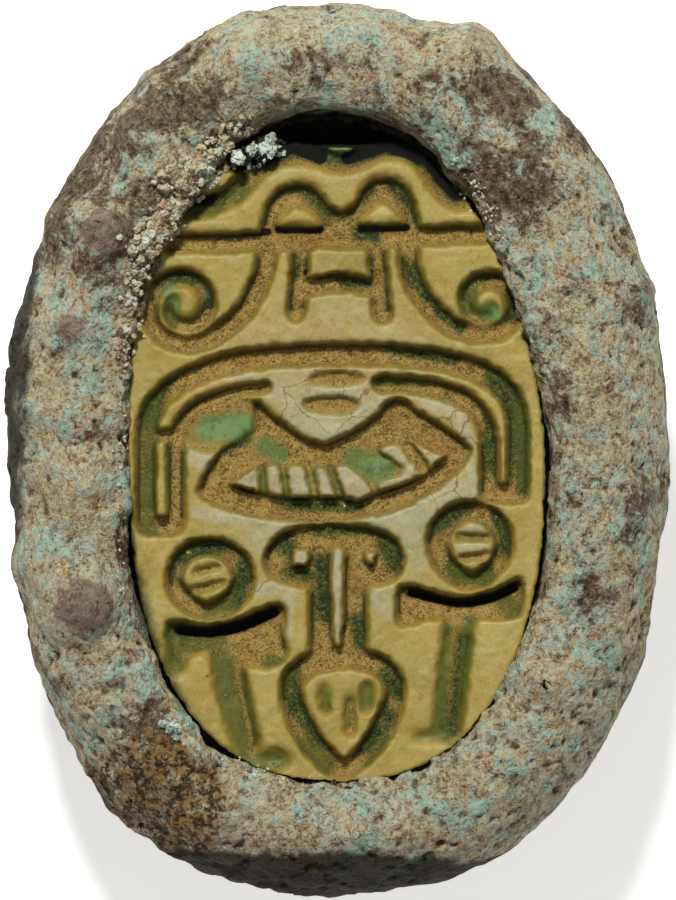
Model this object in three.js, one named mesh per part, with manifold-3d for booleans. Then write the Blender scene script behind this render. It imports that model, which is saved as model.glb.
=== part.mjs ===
// A scarab seal in its corroded metal mount, lying on the beetle's back with the carved face up.
// Millimetres, +Z up, +Y towards the head of the design. The origin is under the middle of the
// whole object, on the surface that it lies on.

import * as THREE from "three";
import { mergeVertices } from "three/addons/utils/BufferGeometryUtils.js";
import Module from "manifold-3d";

const wasm = await Module();
wasm.setup();

// Driving sizes
const overallWidth = 18.7;
const overallLength = 25;
const faceHeight = 7.8; // the carved face above the surface below
const girdleHeight = 6.2; // the scarab's widest level, where the beetle's back begins
const openingWidth = 12;
const openingLength = 18.8;
const gap = 0.15; // between the scarab and its mount
const mountUnderside = 3.0;
const mountCrest = 8.65;
const crestTilt = 0.3; // the mount stands higher at the head of the design
const carveDepth = 0.5;
const slightDepth = 0.25; // slits, slots and ledges
const gapDepth = 0.3; // between the bars of the boat
const deepDepth = 0.85; // undercut edges of the two crescents

// Small helpers

const lerp = THREE.MathUtils.lerp;
const smoothstep = THREE.MathUtils.smoothstep;
const power = (value, exponent) => Math.sign(value) * Math.abs(value) ** exponent;
const mirrored = (points) => points.map(([x, y]) => [-x, y]);

// A closed oval whose upper and lower halves have their own height and squareness: 2 is an
// ellipse, less is more pointed. Its upper part can lean sideways. With no lower half it is an arch.
function oval({ centre = [0, 0], half, up, down = 0, squareUp = 2, squareDown = 2, lean = 0, count = 24 }) {
  const points = [];
  const whole = down > 0;
  const turn = whole ? 2 * Math.PI : Math.PI;
  const last = whole ? count - 1 : count / 2;
  for (let i = 0; i <= last; i++) {
    const angle = (i / (whole ? count : last)) * turn;
    const above = Math.sin(angle) >= 0;
    const square = above ? squareUp : squareDown;
    const y = (above ? up : down) * power(Math.sin(angle), 2 / square);
    const x = half * power(Math.cos(angle), 2 / square) + lean * smoothstep(y, -1, 5);
    points.push([centre[0] + x, centre[1] + y]);
  }
  return points;
}

// Points along a smooth open path.
function smoothPath(points, perSpan = 3) {
  const curve = new THREE.SplineCurve(points.map(([x, y]) => new THREE.Vector2(x, y)));
  return curve.getPoints((points.length - 1) * perSpan).map((p) => [p.x, p.y]);
}

// Points along a smooth closed outline.
function smoothOutline(points, perSpan = 2) {
  const loop = points.map(([x, y]) => new THREE.Vector3(x, y, 0));
  const curve = new THREE.CatmullRomCurve3(loop, true, "centripetal");
  return curve.getPoints(points.length * perSpan).slice(0, -1).map((p) => [p.x, p.y]);
}

// The outline of a graver's stroke along a path, with round ends and its own width at each end.
function strokeOutline(path, startWidth, endWidth = startWidth, roundSteps = 3) {
  const left = [];
  const right = [];
  const normals = path.map((_, i) => {
    const a = path[Math.max(i - 1, 0)];
    const b = path[Math.min(i + 1, path.length - 1)];
    const length = Math.hypot(b[0] - a[0], b[1] - a[1]);
    return [-(b[1] - a[1]) / length, (b[0] - a[0]) / length];
  });
  path.forEach(([x, y], i) => {
    const reach = lerp(startWidth, endWidth, i / (path.length - 1)) / 2;
    left.push([x + normals[i][0] * reach, y + normals[i][1] * reach]);
    right.push([x - normals[i][0] * reach, y - normals[i][1] * reach]);
  });
  const roundEnd = ([x, y], [nx, ny], reach) => {
    const start = Math.atan2(ny, nx);
    return Array.from({ length: roundSteps }, (_, i) => {
      const angle = start - (Math.PI * (i + 1)) / (roundSteps + 1);
      return [x + reach * Math.cos(angle), y + reach * Math.sin(angle)];
    });
  };
  const last = path.length - 1;
  const endCap = roundEnd(path[last], normals[last], endWidth / 2);
  const startCap = roundEnd(path[0], normals[0].map((n) => -n), startWidth / 2);
  return [...left, ...endCap, ...right.reverse(), ...startCap];
}

// The whole stroke in one call.
const groove = (points, startWidth, endWidth) => strokeOutline(smoothPath(points), startWidth, endWidth);

// A closed mesh as a solid that can be cut and joined.
function solidOf(geometry) {
  const bare = geometry.clone();
  bare.deleteAttribute("normal");
  bare.deleteAttribute("uv");
  const merged = mergeVertices(bare, 1e-4);
  return new wasm.Manifold(
    new wasm.Mesh({
      numProp: 3,
      vertProperties: new Float32Array(merged.attributes.position.array),
      triVerts: new Uint32Array(merged.index.array),
    }),
  );
}

// A solid as a mesh to show.
function geometryOf(solid) {
  const { vertProperties, triVerts } = solid.getMesh();
  const geometry = new THREE.BufferGeometry();
  geometry.setAttribute("position", new THREE.BufferAttribute(new Float32Array(vertProperties), 3));
  geometry.setIndex(new THREE.BufferAttribute(new Uint32Array(triVerts), 1));
  geometry.computeVertexNormals();
  return geometry;
}

// An upright prism over an outline, between two heights.
function prism(outline, bottom, top) {
  const shape = new THREE.Shape(outline.map(([x, y]) => new THREE.Vector2(x, y)));
  const geometry = new THREE.ExtrudeGeometry(shape, { depth: top - bottom, bevelEnabled: false });
  return solidOf(geometry.translate(0, 0, bottom));
}

const joined = (solids) => solids.reduce((whole, solid) => whole.add(solid));

// A closed skin over rings of equal point count. Each ring is a list of [x, y, z].
// A solid of rings that aren't closed on each other gets a flat cap at each end.
function skin(rings, closed) {
  const around = rings[0].length;
  const positions = rings.flat(2);
  const index = [];
  const spans = closed ? rings.length : rings.length - 1;
  for (let r = 0; r < spans; r++) {
    for (let i = 0; i < around; i++) {
      const a = r * around + i;
      const b = r * around + ((i + 1) % around);
      const c = ((r + 1) % rings.length) * around + i;
      const d = ((r + 1) % rings.length) * around + ((i + 1) % around);
      index.push(a, b, d, a, d, c);
    }
  }
  if (!closed) {
    const flat = (ring) => ring.map(([x, y]) => new THREE.Vector2(x, y));
    const topStart = (rings.length - 1) * around;
    THREE.ShapeUtils.triangulateShape(flat(rings[0]), []).forEach(([a, b, c]) => index.push(a, c, b));
    THREE.ShapeUtils.triangulateShape(flat(rings.at(-1)), []).forEach(([a, b, c]) =>
      index.push(topStart + a, topStart + b, topStart + c),
    );
  }
  const geometry = new THREE.BufferGeometry();
  geometry.setAttribute("position", new THREE.Float32BufferAttribute(positions, 3));
  geometry.setIndex(index);
  return geometry;
}

// The scarab's body

const outlineForm = { squareUp: 2.05, squareDown: 2.45, lean: -0.25 };
const domeFlatness = 0.97; // leaves a small worn flat to lie on
const bodyCount = 60;

// The scarab's outline at a share of the way from the girdle down to the underside, taken in
// by an inset. Zero and above is the upright part.
function bodyRing(share, height, inset, count = bodyCount) {
  const across = (1 - (share * domeFlatness) ** 2.4) ** 0.46;
  const along = (1 - (share * domeFlatness) ** 2.8) ** 0.5;
  const half = (openingWidth / 2 - gap - inset) * across;
  const end = (openingLength / 2 - gap - inset) * along;
  const lean = outlineForm.lean * across;
  return oval({ half, up: end, down: end, ...outlineForm, lean, count }).map(([x, y]) => [x, y, height]);
}

// The uncarved body, with its underside and sides taken in by an inset.
function bodySolid(inset, top) {
  const edgeRound = 0.12;
  const shares = [1, 0.98, 0.93, 0.84, 0.7, 0.52, 0.3, 0];
  const rings = shares.map((share) => bodyRing(share, lerp(girdleHeight, inset, share), inset));
  rings.push(bodyRing(0, top - edgeRound, inset), bodyRing(0, top, inset + edgeRound / 2));
  return solidOf(skin(rings, false));
}

// The beetle's back: wing cases, thorax and head, cut as thin lines of one depth round the dome.
// The line between the wing cases is worn away on the flat that the object lies on.
function backLines() {
  const line = 0.34;
  const depth = 0.3;
  const oneSide = [
    groove([[2.1, 5.8], [1.8, 6.9], [1, 7.6]], line),
    groove([[3.1, 2.7], [3.5, 1.9], [3.7, 1.1]], line),
  ];
  const outlines = [
    groove([[-5.6, 1.9], [-3, 2.8], [0, 3.1], [3, 2.8], [5.6, 1.9]], line),
    groove([[-4.3, 5.2], [-2.1, 5.8], [0, 5.4], [2.1, 5.8], [4.3, 5.2]], line),
    groove([[0, -3.0], [0, -5.5], [0, -8.6]], line),
    groove([[-1.75, 6.9], [0, 6.4], [1.75, 6.9]], line),
    ...oneSide,
    ...oneSide.map(mirrored),
  ];
  const prisms = joined(outlines.map((outline) => prism(outline, -1, mountUnderside + 0.6)));
  return prisms.subtract(bodySolid(depth, faceHeight));
}

// The carved face

// Each carving is a list of outlines to cut, with islands left standing in them, at one depth.
function carving(depth, cuts, islands = []) {
  const floor = faceHeight - depth;
  const above = faceHeight + 1;
  const cut = joined(cuts.map((outline) => prism(outline, floor, above)));
  if (islands.length === 0) return cut;
  return cut.subtract(joined(islands.map((outline) => prism(outline, floor - 1, above + 1))));
}

// Two hills under a double arch, on a ground line that crosses the face.
function hills() {
  const cuts = [
    groove([[-4.65, 5.75], [-0.2, 5.85], [4.3, 6.05]], 0.45),
    oval({ centre: [-1.1, 5.95], half: 1, up: 1.44, squareUp: 2.2 }),
    oval({ centre: [1.35, 5.95], half: 0.92, up: 1.62, squareUp: 2.3 }),
    [[-0.5, 5.9], [-0.35, 6.85], [0.12, 6.6], [0.7, 6.95], [0.85, 5.9]],
  ];
  const humps = [
    oval({ centre: [-1.07, 6.2], half: 0.68, up: 0.66, squareUp: 1.6 }),
    oval({ centre: [1.25, 6.22], half: 0.7, up: 0.75, squareUp: 1.5 }),
  ];
  return carving(carveDepth, cuts, humps);
}

// The groove over the double arch, and the broken edge beyond it.
function brokenHead() {
  const browLine = [
    [-4.6, 6.75], [-3.5, 6.85], [-2.8, 7.2], [-2.2, 7.9], [-1.6, 8.2], [-1, 8.3], [-0.4, 8.15],
    [0.1, 8], [0.6, 8.15], [1.15, 8.4], [1.75, 8.4], [2.4, 8.05], [2.85, 7.4], [3.25, 7], [4, 7.05],
  ];
  const brow = carving(carveDepth, [strokeOutline(smoothPath(browLine, 2), 0.5)]);
  const breakLine = [
    [-3.4, 8.1], [-2.7, 7.75], [-2, 8.35], [-1.2, 8.6], [-0.3, 8.45], [0.6, 8.5], [1.5, 8.7],
    [2.4, 8.35], [3.1, 7.5], [4, 7.25], [5.6, 7.6], [4, 9.6], [0, 10.6], [-3.6, 9.8],
  ];
  const nub = oval({ centre: [-0.2, 8.38], half: 0.4, up: 0.13, down: 0.16, count: 8 });
  const chipDepth = 1.5;
  return brow.add(carving(chipDepth, [breakLine], [nub]));
}

// A stem that runs down and rolls into a volute.
function volute({ stem, centre, turn, outer, inner, sweep, bend, widths }) {
  const coil = [];
  const steps = 14;
  for (let i = 0; i <= steps; i++) {
    const share = i / steps;
    const radius = lerp(outer, inner, share ** bend);
    const angle = -Math.PI / 2 + turn * share * sweep;
    coil.push([centre[0] + radius * Math.cos(angle), centre[1] + radius * Math.sin(angle)]);
  }
  return strokeOutline(smoothPath([...stem, ...coil], 2), ...widths);
}

function volutes() {
  const left = volute({
    stem: [[-1.95, 5.7], [-2, 5.05], [-2.25, 4.45], [-2.55, 3.9], [-3.1, 3.4], [-3.7, 3.05]],
    centre: [-4.27, 4], turn: -1, outer: 1.03, inner: 0.3, sweep: 2.7 * Math.PI, bend: 1.35,
    widths: [0.5, 0.28],
  });
  const right = volute({
    stem: [[1.98, 5.7], [2, 5.2], [2.15, 4.6], [2.45, 4.15], [2.8, 3.75], [3.3, 3.4]],
    centre: [4.15, 4.05], turn: 1, outer: 0.81, inner: 0.2, sweep: 2.25 * Math.PI, bend: 2.2,
    widths: [0.52, 0.3],
  });
  return carving(carveDepth, [left, right]);
}

// A low stool between the stems, with splayed feet and a bowed rung.
function stool() {
  return carving(carveDepth, [
    groove([[-0.98, 5.75], [-1.15, 3.8]], 0.45),
    groove([[1.08, 5.75], [1.27, 3.75]], 0.45),
    groove([[-0.95, 4.5], [0.05, 4.68], [1.1, 4.5]], 0.46, 0.4),
  ]);
}

// A path round the upper part of an arch, from its left side to its right, with straight sides below.
function archPath({ centreX, half, spring, crown, squares, from, to, leftFoot, rightFoot }) {
  const points = [];
  const steps = 16;
  if (leftFoot !== undefined) {
    points.push([centreX - half, leftFoot], [centreX - half, (leftFoot + spring) / 2]);
  }
  for (let i = 0; i <= steps; i++) {
    const angle = lerp(from, to, i / steps) * Math.PI;
    const square = Math.cos(angle) < 0 ? squares[0] : squares[1];
    const x = centreX + half * power(Math.cos(angle), 2 / square);
    points.push([x, spring + (crown - spring) * power(Math.sin(angle), 2 / square)]);
  }
  if (rightFoot !== undefined) {
    points.push([centreX + half, (rightFoot + spring) / 2], [centreX + half, rightFoot]);
  }
  return points;
}

// The great arch: an outer groove and an inner one on each side, with a thin ridge between them.
function greatArch() {
  const outer = archPath({
    centreX: -0.14, half: 5.18, spring: 0.3, crown: 2.68, squares: [2.4, 3], from: 1, to: 0,
    leftFoot: -2.0, rightFoot: -1.15,
  });
  const sleeveLeft = archPath({
    centreX: -0.1, half: 4.38, spring: -0.3, crown: 1.82, squares: [3, 3], from: 1, to: 0.59,
    leftFoot: -1.95,
  });
  const sleeveRight = archPath({
    centreX: -0.1, half: 4.32, spring: -0.3, crown: 1.88, squares: [3.4, 3.4], from: 0.46, to: 0,
    rightFoot: -1.15,
  });
  return carving(carveDepth, [
    strokeOutline(outer, 0.5, 0.56),
    strokeOutline(sleeveLeft, 0.46, 0.24),
    strokeOutline(sleeveRight, 0.42, 0.46),
    groove([[-5.3, -2.1], [-4.5, -2.1]], 0.45),
    groove([[-5.2, 0.38], [-4.5, 0.48]], 0.22),
    groove([[4.2, -1.2], [5, -1.2]], 0.45),
  ]);
}

// The striped boat: a pointed hollow under a hanging bowl, and in it a hull cut into slanted bars.
function boat() {
  const hollow = smoothOutline([
    [-3.85, -1.15], [-3.2, 0], [-2.3, 0.6], [-2.3, 1.42], [-1.85, 1.02], [-1.2, 0.5], [-0.4, 0.15],
    [0.3, 0.45], [1.05, 0.9], [1.6, 1.47], [2.2, 1.1], [3.05, 0.55], [3.7, 0], [2.9, -0.95],
    [1.4, -1.68], [-0.5, -1.95], [-2.45, -1.75], [-3.6, -1.4],
  ]);
  const ledge = smoothOutline([
    [-4.2, 0.12], [-3.2, 0.02], [-2.2, 0.5], [-2.3, 1.4], [-3.3, 1.35], [-4.05, 0.75],
  ]);
  const hull = [
    [-3, -0.93], [-2.1, -1.2], [-1.45, -1.33], [-0.6, -1.32], [0, -1.3], [0.55, -1.4], [1.1, -1.22],
    [1.75, -0.98], [2.45, -0.68], [3.08, -0.1], [2.62, 0.02], [2, 0.38], [1.72, 0.3], [1.25, 0.17],
    [1.08, -0.02], [0.3, -0.36], [-0.4, -0.42], [-1.3, -0.34], [-2.25, -0.4],
  ];
  const gaps = [
    groove([[-2.1, -0.32], [-2.02, -1.28]], 0.2),
    groove([[-1.52, -0.28], [-1.38, -1.42]], 0.18),
    groove([[-0.82, -0.34], [-0.56, -1.42]], 0.22),
    groove([[-0.25, -0.36], [0.16, -1.42]], 0.2),
    groove([[1.02, -0.95], [1.12, -1.32]], 0.12),
    groove([[1.72, 0.4], [2.42, -0.5]], 0.3),
  ];
  const gapBehindBars = [[0.32, -0.34], [0.95, -0.98], [1.4, -0.75], [1.78, -0.68], [1.85, -0.48], [1.1, 0.02]];
  const slots = [
    oval({ centre: [-0.02, 1.98], half: 0.78, up: 0.2, down: 0.2, count: 14 }),
    oval({ centre: [-0.15, 1.27], half: 0.8, up: 0.24, down: 0.24, count: 14 }),
  ];
  return joined([
    carving(carveDepth, [hollow], [hull]),
    carving(gapDepth, [...gaps, gapBehindBars]),
    carving(slightDepth, [ledge, ...slots]),
  ]);
}

// Two barred discs, each in a ring groove.
function discs() {
  const cuts = [
    oval({ centre: [-3.52, -3.55], half: 1.2, up: 1.12, down: 1.1 }),
    oval({ centre: [3.68, -2.6], half: 1.18, up: 1.2, down: 1.25, squareDown: 1.7 }),
  ];
  const islands = [
    oval({ centre: [-3.6, -3.55], half: 0.74, up: 0.68, down: 0.7, squareDown: 1.5, count: 16 }),
    oval({ centre: [3.75, -2.65], half: 0.66, up: 0.75, down: 0.75, squareDown: 1.6, count: 16 }),
  ];
  const slits = [
    groove([[-3.95, -3.38], [-3.3, -3.22]], 0.16),
    groove([[-4.05, -3.9], [-3.15, -3.68]], 0.16),
    groove([[3.3, -2.42], [4.2, -2.42]], 0.18),
    groove([[3.45, -2.98], [4.2, -2.9]], 0.16),
  ];
  return joined([carving(carveDepth, cuts, islands), carving(slightDepth, slits)]);
}

// A crescent with a broad stem and a small foot, on each side of the drop.
function crescents() {
  const leftHorn = smoothOutline([
    [-4.72, -4.75], [-3.7, -4.87], [-2.6, -4.65], [-1.8, -4.3], [-1.48, -4.32], [-1.5, -5.15],
    [-1.35, -5.6], [-1.85, -6.02], [-2.95, -5.75], [-3.7, -5.5], [-4.15, -5.7], [-4.35, -6.2],
    [-4.55, -6.2], [-4.7, -5.5],
  ]);
  const rightHorn = smoothOutline([
    [1.75, -3.78], [2.1, -3.78], [3.3, -4.1], [4.3, -3.95], [5.05, -3.55], [5.15, -3.8], [5.02, -4.6],
    [3.9, -4.6], [2.6, -4.65], [1.72, -4.85], [1.65, -4.3],
  ]);
  const undercuts = [
    groove([[-4.38, -5.02], [-3.6, -5.07], [-2.6, -4.87], [-1.75, -4.5]], 0.3),
    groove([[2.05, -3.95], [3.3, -4.25], [4.2, -4.12], [4.95, -3.8]], 0.26),
  ];
  const stems = [
    groove([[-3.05, -5.6], [-2.95, -6.7], [-2.62, -7.9], [-2.42, -8.45]], 0.95, 0.5),
    groove([[3.42, -4.55], [3.22, -6.1], [3.05, -7.75]], 0.82, 0.78),
  ];
  const stemGrooves = [
    groove([[-2.82, -5.9], [-2.6, -6.9], [-2.3, -8.2]], 0.3),
    groove([[3.5, -5.2], [3.38, -6.5], [3.2, -7.7]], 0.3),
  ];
  const feet = [
    oval({ centre: [-1.75, -8.62], half: 0.5, up: 0.3, down: 0.22, count: 12 }),
    groove([[2.25, -7.95], [3.05, -7.92]], 0.24),
  ];
  return joined([
    carving(carveDepth * 0.9, [leftHorn, rightHorn]),
    carving(deepDepth, undercuts),
    carving(carveDepth * 0.6, [...stems, ...feet]),
    carving(carveDepth, stemGrooves),
  ]);
}

// The drop: a seed-shaped boss with three slots, hanging from a crutch with two beads.
function drop() {
  const cuts = [
    oval({ centre: [-0.08, -3], half: 1.92, up: 0.98, down: 0.78, squareUp: 2.2, squareDown: 3 }),
    [[-0.75, -3.3], [0.8, -3.3], [0.8, -5.9], [-0.75, -5.9]],
    oval({ centre: [0.15, -6.75], half: 1.72, up: 1.25, down: 2.35, squareUp: 2.4, squareDown: 1.55 }),
  ];
  const islands = [
    strokeOutline([[0, -2.78], [0.02, -5.38]], 0.46, 0.28, 1),
    [[-1.26, -3.24], [-0.78, -3.2], [-0.75, -2.7], [-1.24, -2.74]],
    [[0.78, -3.16], [1.03, -3.18], [1.1, -2.8], [0.76, -2.78]],
    oval({ centre: [0.18, -6.72], half: 1.18, up: 0.7, down: 1.88, squareUp: 2.3, squareDown: 1.3 }),
  ];
  const slots = [
    groove([[-0.38, -6.65], [-0.3, -7.2]], 0.28),
    groove([[0.36, -7.0], [0.36, -7.8]], 0.32),
    groove([[0.86, -6.6], [0.8, -7.1]], 0.34),
  ];
  return joined([carving(carveDepth, cuts, islands), carving(slightDepth * 1.2, slots)]);
}

function scarab() {
  const body = bodySolid(0, faceHeight);
  const upper = [hills(), brokenHead(), volutes(), stool()];
  const lower = [greatArch(), boat(), discs(), crescents(), drop()];
  const cuts = joined([...upper, ...lower, backLines()]);
  return body.subtract(cuts).simplify(0.008);
}

// The mount

const mountCount = 84;

// Where the outer edge stands out or in from its oval: the angle, how far it spreads and the rise.
const edgeSwells = [
  { angle: 42, spread: 15, rise: 0.1 },
  { angle: 67, spread: 9, rise: 0.25 },
  { angle: 108, spread: 13, rise: 0.28 },
  { angle: 192, spread: 13, rise: -0.2 },
  { angle: 206, spread: 7, rise: -0.14 },
  { angle: 264, spread: 10, rise: 0.1 },
  { angle: 344, spread: 12, rise: -0.24 },
];

// Blisters of corrosion: where each sits, how wide it is and how far it stands out.
const blisters = [
  { at: [-6.5, 6.1, 8.4], radius: 0.9, rise: 0.3 },
  { at: [-6.9, -4.2, 8.3], radius: 1, rise: 0.45 },
  { at: [-5.6, 8.9, 8.0], radius: 0.9, rise: 0.25 },
  { at: [-7.4, 3.3, 8.5], radius: 1, rise: 0.2 },
  { at: [-2.4, 10.9, 8.4], radius: 1.1, rise: 0.3 },
  { at: [3.7, 11.3, 7.4], radius: 1.3, rise: 0.4 },
  { at: [-9.2, 2.6, 6.4], radius: 1.2, rise: 0.25 },
  { at: [8.5, 4.5, 7.0], radius: 1.1, rise: 0.2 },
  { at: [-7.2, -1.0, 8.6], radius: 1.2, rise: 0.2 },
  { at: [-6.2, -10.0, 5.6], radius: 1.3, rise: 0.25 },
  { at: [5.8, -6.5, 8.4], radius: 0.9, rise: 0.2 },
  { at: [6.2, 8.6, 7.6], radius: 1.3, rise: 0.2 },
  { at: [8.9, -1.6, 6.0], radius: 1.2, rise: 0.15 },
];

// The section of the mount, from the underside out, round and back in over the crest to the lip:
// the share of the way from the opening to the outer edge, and the height.
const outerSection = [
  [0.3, mountUnderside + 0.1], [0.62, 3.3], [0.86, 3.8], [0.97, 4.6], [1, 5.5], [0.975, 6.5],
  [0.88, 7.45], [0.72, 8.2], [0.5, mountCrest], [0.28, mountCrest + 0.05], [0.1, mountCrest - 0.2],
  [0, mountCrest - 0.6],
];
const seatShares = [0, 0.22, 0.4, 0.5]; // down the dome that the mount is wrapped round

function mountEdges() {
  const form = { up: openingLength / 2, down: openingLength / 2, count: mountCount };
  const opening = oval({ half: openingWidth / 2, ...form, ...outlineForm });
  const end = overallLength / 2 - 0.06;
  const outerForm = { half: overallWidth / 2, up: end, down: end, squareUp: 2.07, squareDown: 2.3 };
  const plain = oval({ ...outerForm, count: mountCount });
  const outer = plain.map(([x, y]) => {
    const angle = THREE.MathUtils.euclideanModulo(THREE.MathUtils.radToDeg(Math.atan2(y, x)), 360);
    const rise = edgeSwells.reduce((sum, swell) => {
      return sum + swell.rise * Math.exp(-(((angle - swell.angle) / swell.spread) ** 2));
    }, 0);
    const scale = 1 + rise / Math.hypot(x, y);
    return [x * scale, y * scale];
  });
  return { opening, outer };
}

function mount() {
  const { opening, outer } = mountEdges();
  const place = (i, share, height) => {
    const [x, y] = [0, 1].map((axis) => lerp(opening[i][axis], outer[i][axis], share));
    const tilt = crestTilt * (y / overallLength) * 2 * smoothstep(height, 5, 8.5);
    return new THREE.Vector3(x, y, height + tilt);
  };
  // Corrosion swells the skin away from the middle of the section.
  const swollen = (i, share, height) => {
    const point = place(i, share, height);
    const away = point.clone().sub(place(i, 0.45, 5.8)).normalize();
    const angle = (i / mountCount) * 2 * Math.PI;
    let rise = 0.05 * Math.sin(7 * angle + 3 * share) + 0.04 * Math.sin(17 * angle - 3 * height + 1);
    blisters.forEach(({ at, radius, rise: top }) => {
      rise += top * Math.exp(-((point.distanceTo(new THREE.Vector3(...at)) / radius) ** 2));
    });
    return point.addScaledVector(away, rise).toArray();
  };
  const around = Array.from({ length: mountCount }, (_, i) => i);
  const rings = outerSection.map(([share, height]) =>
    around.map((i) => (share > 0.2 ? swollen(i, share, height) : place(i, share, height).toArray())),
  );
  seatShares.forEach((share) => {
    rings.push(bodyRing(share, lerp(girdleHeight, 0, share), -gap, mountCount));
  });
  return skin(rings, true);
}

// The object

const stone = new THREE.MeshStandardMaterial({ color: 0xb9ab72, roughness: 0.55, metalness: 0 });
const crust = new THREE.MeshStandardMaterial({ color: 0x8d827c, roughness: 0.95, metalness: 0.1 });

const assembly = new THREE.Group();
const pieces = [
  ["scarab", geometryOf(scarab()), stone],
  ["mount", mount(), crust],
];
pieces.forEach(([name, geometry, material]) => {
  const mesh = new THREE.Mesh(geometry, material);
  mesh.name = name;
  assembly.add(mesh);
});

// The corroded outline is uneven, so the whole is centred over the origin once it is made.
const box = new THREE.Box3().setFromObject(assembly, true);
const middle = box.getCenter(new THREE.Vector3());
assembly.position.set(-middle.x, -middle.y, -box.min.z);

export default new THREE.Group().add(assembly);
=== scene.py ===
import math
import random

import bpy
import numpy as np
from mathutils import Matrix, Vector


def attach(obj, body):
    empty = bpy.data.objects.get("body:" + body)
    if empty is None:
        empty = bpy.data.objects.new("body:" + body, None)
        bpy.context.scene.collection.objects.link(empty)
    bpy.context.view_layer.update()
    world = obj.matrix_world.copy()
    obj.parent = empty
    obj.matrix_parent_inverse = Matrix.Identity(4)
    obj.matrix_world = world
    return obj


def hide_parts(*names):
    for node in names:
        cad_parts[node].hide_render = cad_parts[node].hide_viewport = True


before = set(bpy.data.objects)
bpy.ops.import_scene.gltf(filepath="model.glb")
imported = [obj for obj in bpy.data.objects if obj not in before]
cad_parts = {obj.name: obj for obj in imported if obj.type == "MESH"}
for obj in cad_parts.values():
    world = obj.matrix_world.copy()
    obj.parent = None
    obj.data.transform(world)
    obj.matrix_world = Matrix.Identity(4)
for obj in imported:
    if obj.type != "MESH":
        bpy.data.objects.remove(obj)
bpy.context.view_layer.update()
mm = 0.001

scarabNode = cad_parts["scarab"]
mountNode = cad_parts["mount"]


# working habits

def deselectAll():
    if bpy.context.object and bpy.context.object.mode != "OBJECT":
        bpy.ops.object.mode_set(mode="OBJECT")
    bpy.ops.object.select_all(action="DESELECT")


def pick(piece):
    deselectAll()
    piece.select_set(True)
    bpy.context.view_layer.objects.active = piece


def applied(piece, kind, **settings):
    pick(piece)
    modifier = piece.modifiers.new(kind.lower(), kind)
    for key, value in settings.items():
        setattr(modifier, key, value)
    bpy.ops.object.modifier_apply(modifier=modifier.name)


def noise(name, kind, size, **settings):
    texture = bpy.data.textures.new(name, kind)
    texture.noise_scale = size
    for key, value in settings.items():
        setattr(texture, key, value)
    return texture


def roughened(piece, layers):
    # relief laid on in layers: texture, kind, size, height, how it sits, vertex group, how it is made
    for name, kind, size, height, level, group, extra in layers:
        texture = noise(name, kind, size, **extra)
        applied(
            piece, "DISPLACE", texture=texture, texture_coords="LOCAL", strength=height, mid_level=level,
            vertex_group=group,
        )


def places(piece):
    points = np.empty(len(piece.data.vertices) * 3)
    piece.data.vertices.foreach_get("co", points)
    return points.reshape(-1, 3)


def normalsOf(piece):
    normals = np.empty(len(piece.data.vertices) * 3)
    piece.data.vertices.foreach_get("normal", normals)
    return normals.reshape(-1, 3)


def setGroup(piece, name, weights):
    group = piece.vertex_groups.get(name) or piece.vertex_groups.new(name=name)
    steps = np.clip(np.round(weights * 20), 0, 20).astype(int)  # twenty strengths are enough
    for step in range(1, 21):
        members = np.nonzero(steps == step)[0]
        if len(members):
            group.add(members.tolist(), step / 20, "REPLACE")


def setShade(piece, name, values):
    shade = piece.data.attributes.new(name, "FLOAT", "POINT")
    shade.data.foreach_set("value", np.asarray(values, dtype=np.float32))


def blurred(piece, values, rounds):
    edges = np.empty(len(piece.data.edges) * 2, dtype=int)
    piece.data.edges.foreach_get("vertices", edges)
    a, b = edges.reshape(-1, 2).T
    count = len(values)
    near = np.bincount(a, minlength=count) + np.bincount(b, minlength=count)
    for _ in range(rounds):
        total = np.bincount(a, weights=values[b], minlength=count)
        total += np.bincount(b, weights=values[a], minlength=count)
        values = 0.5 * values + 0.5 * total / np.maximum(near, 1)
    return values


def ramp(values, low, high):
    share = np.clip((values - low) / (high - low), 0, 1)
    return share * share * (3 - 2 * share)


def blobs(points, spots):
    # how strongly each point belongs to any of the round spots, (x, y, reach) in mm
    weight = np.zeros(len(points))
    for x, y, reach in spots:
        distance = np.hypot(points[:, 0] - x * mm, points[:, 1] - y * mm)
        weight = np.maximum(weight, np.exp(-((distance / (reach * mm)) ** 2)))
    return weight


def along(points, lines):
    # how strongly each point belongs to any of the strokes, (x, y, x, y, reach) in mm
    weight = np.zeros(len(points))
    for x1, y1, x2, y2, reach in lines:
        start = np.array([x1, y1]) * mm
        run = np.array([x2, y2]) * mm - start
        share = np.clip((points[:, :2] - start) @ run / (run @ run), 0, 1)
        distance = np.hypot(*(points[:, :2] - start - share[:, None] * run).T)
        weight = np.maximum(weight, np.exp(-((distance / (reach * mm)) ** 2)))
    return weight


# the seal: a fine sheet for the carved face, a coarser one for the beetle's back, bridged round the side

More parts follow.
